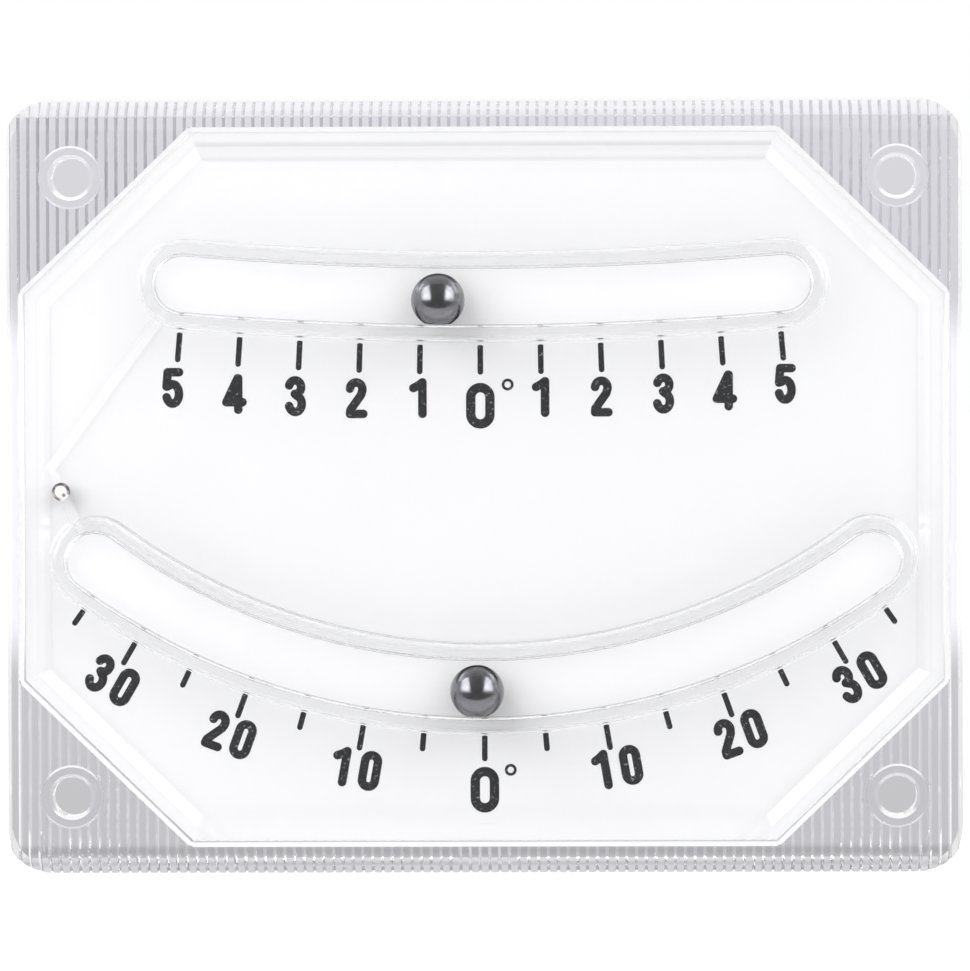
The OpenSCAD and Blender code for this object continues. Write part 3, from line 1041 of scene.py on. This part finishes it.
def stage_mesh(name, corners, faces, material, seen_by):
    """A part of the studio, which only the named kinds of ray meet."""
    mesh = bpy.data.meshes.new(name)
    mesh.from_pydata([mm(*corner) for corner in corners], [], faces)
    mesh.materials.append(material)
    part = bpy.data.objects.new(name, mesh)
    bpy.context.scene.collection.objects.link(part)
    for kind in ("camera", "diffuse", "glossy", "transmission", "shadow", "volume_scatter"):
        setattr(part, "visible_" + kind, kind in seen_by)


FLOOR_COLOUR = (0.82, 0.82, 0.83, 1)
FLOOR_GLOW = 0.42
FLOOR_REACH = 4000


def pale_floor():
    """A white table whose lit parts meet the white background, and which keeps its shadow."""
    material, tree, output, shader = blank_material("studio_floor")
    shader.inputs["Base Color"].default_value = FLOOR_COLOUR
    shader.inputs["Roughness"].default_value = 0.7
    path = add_node(tree, "ShaderNodeLightPath", (-200, 400))
    glow = add_node(tree, "ShaderNodeEmission", (200, 300))
    both = add_node(tree, "ShaderNodeAddShader", (420, 100))
    seen = calc(
        tree, "MAXIMUM", path.outputs["Is Camera Ray"], path.outputs["Is Transmission Ray"]
    )
    join(tree, calc(tree, "MULTIPLY", seen, FLOOR_GLOW), glow.inputs["Strength"])
    join(tree, shader.outputs[0], both.inputs[0])
    join(tree, glow.outputs[0], both.inputs[1])
    join(tree, both.outputs[0], output.inputs["Surface"])
    level = cad_box[0].z * 1000 - FLOOR_GAP
    far = FLOOR_REACH
    corners = [(-far, -far, level), (far, -far, level), (far, far, level), (-far, far, level)]
    stage_mesh("studio_floor", corners, [(0, 1, 2, 3)], material, {"camera", "diffuse", "shadow"})


def direction_axes(tree):
    """The x, y and z sockets of the way from the part to a place on the tent."""
    coordinates = add_node(tree, "ShaderNodeTexCoord", (-1800, 0))
    unit = add_node(tree, "ShaderNodeVectorMath", (-1600, 0), {"operation": "NORMALIZE"})
    axes = add_node(tree, "ShaderNodeSeparateXYZ", (-1400, 0))
    join(tree, coordinates.outputs["Object"], unit.inputs[0])
    join(tree, unit.outputs[0], axes.inputs[0])
    return axes.outputs


def tent_level(tree, x, y, z):
    """Brightness of the studio round the part, by direction: a dark room in front above a
    pale table, a tall softbox to either side, and white at the sides and behind."""
    room = blend(tree, ROOM_LEVEL, ROOM_SIDE_LEVEL, step_of(tree, y, -0.5, -0.1))
    under = calc(tree, "SUBTRACT", calc(tree, "MULTIPLY", y, TABLE_TILT), z)
    level = blend(tree, room, TABLE_LEVEL, step_of(tree, under, -0.02, 0.03))
    offsets = []
    for part, middle, half in zip((calc(tree, "ABSOLUTE", x), z), SOFTBOX_AT, SOFTBOX_HALF):
        share = calc(tree, "DIVIDE", calc(tree, "SUBTRACT", part, middle), half)
        offsets.append(calc(tree, "ABSOLUTE", share))
    far = calc(tree, "MAXIMUM", *offsets)
    box = calc(tree, "MULTIPLY", step_of(tree, far, 1.1, 0.45), step_of(tree, y, -0.05, -0.15))
    level = blend(tree, level, SOFTBOX_LEVEL, box)
    return blend(tree, level, 1.0, step_of(tree, y, 0.0, 0.2))


def light_tent():
    """What shines in the part or shows through it: the studio all round, as a pattern."""
    material, tree, output = bare_material("studio_tent")
    glow = add_node(tree, "ShaderNodeEmission", (400, 0))
    path = add_node(tree, "ShaderNodeLightPath", (-400, -400))
    first = calc(tree, "LESS_THAN", path.outputs["Diffuse Depth"], 0.5)
    x, y, z = direction_axes(tree)
    fill = blend(tree, TENT_FILL_BELOW, TENT_FILL_ABOVE, step_of(tree, z, -1.0, 1.0))
    join(tree, blend(tree, fill, tent_level(tree, x, y, z), first), glow.inputs["Strength"])
    join(tree, glow.outputs[0], output.inputs["Surface"])
    ball = bmesh.new()
    bmesh.ops.create_icosphere(ball, subdivisions=4, radius=TENT_RADIUS)
    corners = [tuple(v.co) for v in ball.verts]
    faces = [tuple(v.index for v in face.verts) for face in ball.faces]
    ball.free()
    stage_mesh("studio_tent", corners, faces, material, {"glossy", "transmission"})


# The sheet glows with painted light and shade for the shaded ground seen through the clear flange
PAINTED_SHEET_TOP = 0.89
PAINTED_SHEET_BOTTOM = 0.69
PAINTED_SHEET_TINT = (0.965, 0.96, 1.0, 1)
BACKING_DEPTH = 0.25
BACKING_INSET = 0.4
BACKING_CORNER = 5.2
HOLE_SHADE = 0.82
LIGHT_BESIDE_WINDOW = 1.22
# Heights between which the sheet's painted brightness changes, and by how much
PAINTED_SHEET_STEPS = [(36.2, 36.8, 1.05), (37.9, 38.4, 1.05), (-38.0, -38.5, 0.93)]
# Middle, reach and share of the strip of painted shade under the window
SHADE_UNDER_WINDOW = (-37.4, 0.9, 0.74)
# The strips of painted light beside the window: where they start and are full, across and up
BESIDE_ACROSS = (46, 47)
BESIDE_UP = (20, 13)


def painted_sheet_light(tree):
    """Painted light and shade on the sheet: grey behind the corners and the upper and lower bands,
    darker towards the bottom and in the screw holes, and white beside the window."""
    x, _, z = object_axes(tree)
    low, high = cad_box[0].z, cad_box[1].z
    level = spread(tree, z, low, high, PAINTED_SHEET_BOTTOM, PAINTED_SHEET_TOP)
    _, off = off_screws(tree, x, z)
    in_hole = step_of(tree, off, mm(HOLE_RADIUS + 0.15), mm(HOLE_RADIUS - 0.1))
    gains = [(gain, step_of(tree, z, mm(start), mm(end))) for start, end, gain in PAINTED_SHEET_STEPS]
    middle, reach, share = SHADE_UNDER_WINDOW
    gains += [(share, hump(tree, z, mm(middle), mm(reach))), (HOLE_SHADE, in_hole)]
    for gain, part in gains:
        level = calc(tree, "MULTIPLY", level, blend(tree, 1.0, gain, part))
    sides = [
        step_of(tree, calc(tree, "ABSOLUTE", part), mm(start), mm(full))
        for part, (start, full) in ((x, BESIDE_ACROSS), (z, BESIDE_UP))
    ]
    return blend(tree, level, LIGHT_BESIDE_WINDOW, calc(tree, "MULTIPLY", *sides))


def painted_shade_sheet():
    """A glowing sheet close behind the clear flange, painted with the shade seen through it, which
    can't be seen from the back.
    """
    material, tree, output = bare_material("studio_backing")
    glow = add_node(tree, "ShaderNodeEmission", (0, 100), Color=PAINTED_SHEET_TINT)
    clear = add_node(tree, "ShaderNodeBsdfTransparent", (0, -100))
    mix = add_node(tree, "ShaderNodeMixShader", (300, 0))
    side = add_node(tree, "ShaderNodeNewGeometry", (0, 300))
    join(tree, painted_sheet_light(tree), glow.inputs["Strength"])
    join(tree, side.outputs["Backfacing"], mix.inputs[0])
    join(tree, glow.outputs[0], mix.inputs[1])
    join(tree, clear.outputs[0], mix.inputs[2])
    join(tree, mix.outputs[0], output.inputs["Surface"])
    x, z = cad_box[1].x * 1000 - BACKING_INSET, cad_box[1].z * 1000 - BACKING_INSET
    radius = BACKING_CORNER
    corners = [
        (sx * (x - radius + radius * math.cos(turn)), BACKING_DEPTH,
         sz * (z - radius + radius * math.sin(turn)))
        for sx, sz in ((-1, -1), (1, -1), (1, 1), (-1, 1))
        for turn in ([math.radians(10 * i) for i in range(10)][::sx * sz])
    ]
    faces = [range(len(corners))]
    stage_mesh("studio_backing", corners, faces, material, {"camera", "transmission"})


def soft_lamp(name, side):
    """A lamp that lights but doesn't shine in the part, as the tent does that."""
    data = bpy.data.lights.new(name, "AREA")
    data.shape = "RECTANGLE"
    data.size, data.size_y = (mm(length) for length in LAMP_SIZE)
    data.energy = LAMP_POWER
    lamp = bpy.data.objects.new(name, data)
    lamp.location = mm(side * LAMP_AT[0], *LAMP_AT[1:])
    lamp.rotation_euler = (-lamp.location).to_track_quat("-Z", "Y").to_euler()
    lamp.visible_glossy = False
    lamp.visible_transmission = False
    bpy.context.scene.collection.objects.link(lamp)


def studio():
    studio_world()
    pale_floor()
    light_tent()
    painted_shade_sheet()
    soft_lamp("left_softbox", -1)
    soft_lamp("right_softbox", 1)


# --- camera ---

CAMERA_PLACE = (13.91, -900.0, 17.97)
CAMERA_PITCH = -1.141
CAMERA_YAW = 0.882
CAMERA_ROLL = 0.155
SENSOR_WIDTH = 36.0
PIXELS_WIDE = 970
PIXELS_TO_FOCUS = 8770.1


def camera():
    data = bpy.data.cameras.new("photo_camera")
    data.sensor_width = SENSOR_WIDTH
    data.lens = PIXELS_TO_FOCUS / PIXELS_WIDE * SENSOR_WIDTH
    data.clip_start, data.clip_end = 0.01, 20.0
    view = bpy.data.objects.new("photo_camera", data)
    turn = (
        Matrix.Rotation(math.radians(CAMERA_YAW), 4, "Z")
        @ Matrix.Rotation(math.radians(CAMERA_PITCH), 4, "X")
        @ Matrix.Rotation(math.radians(CAMERA_ROLL), 4, "Y")
        @ Matrix.Rotation(math.radians(90), 4, "X")
    )
    view.matrix_world = Matrix.Translation(mm(*CAMERA_PLACE)) @ turn
    bpy.context.scene.collection.objects.link(view)
    bpy.context.scene.camera = view


# --- the whole scene ---

bpy.context.scene.view_settings.view_transform = "Standard"
camera()
studio()
ink = scale_print()
steel = ball_steel()
clear_cover()
lapped_ball("upper_steel_ball", "upper_ball", "upper_ball", steel)
lapped_ball("lower_steel_ball", "lower_ball", "lower_ball", steel)
dial_figures(ink)
refinish("dial_plate", dial_white())
refinish("upper_scale", ink)
refinish("lower_scale", ink)
refinish("fill_plug", plug_resin())
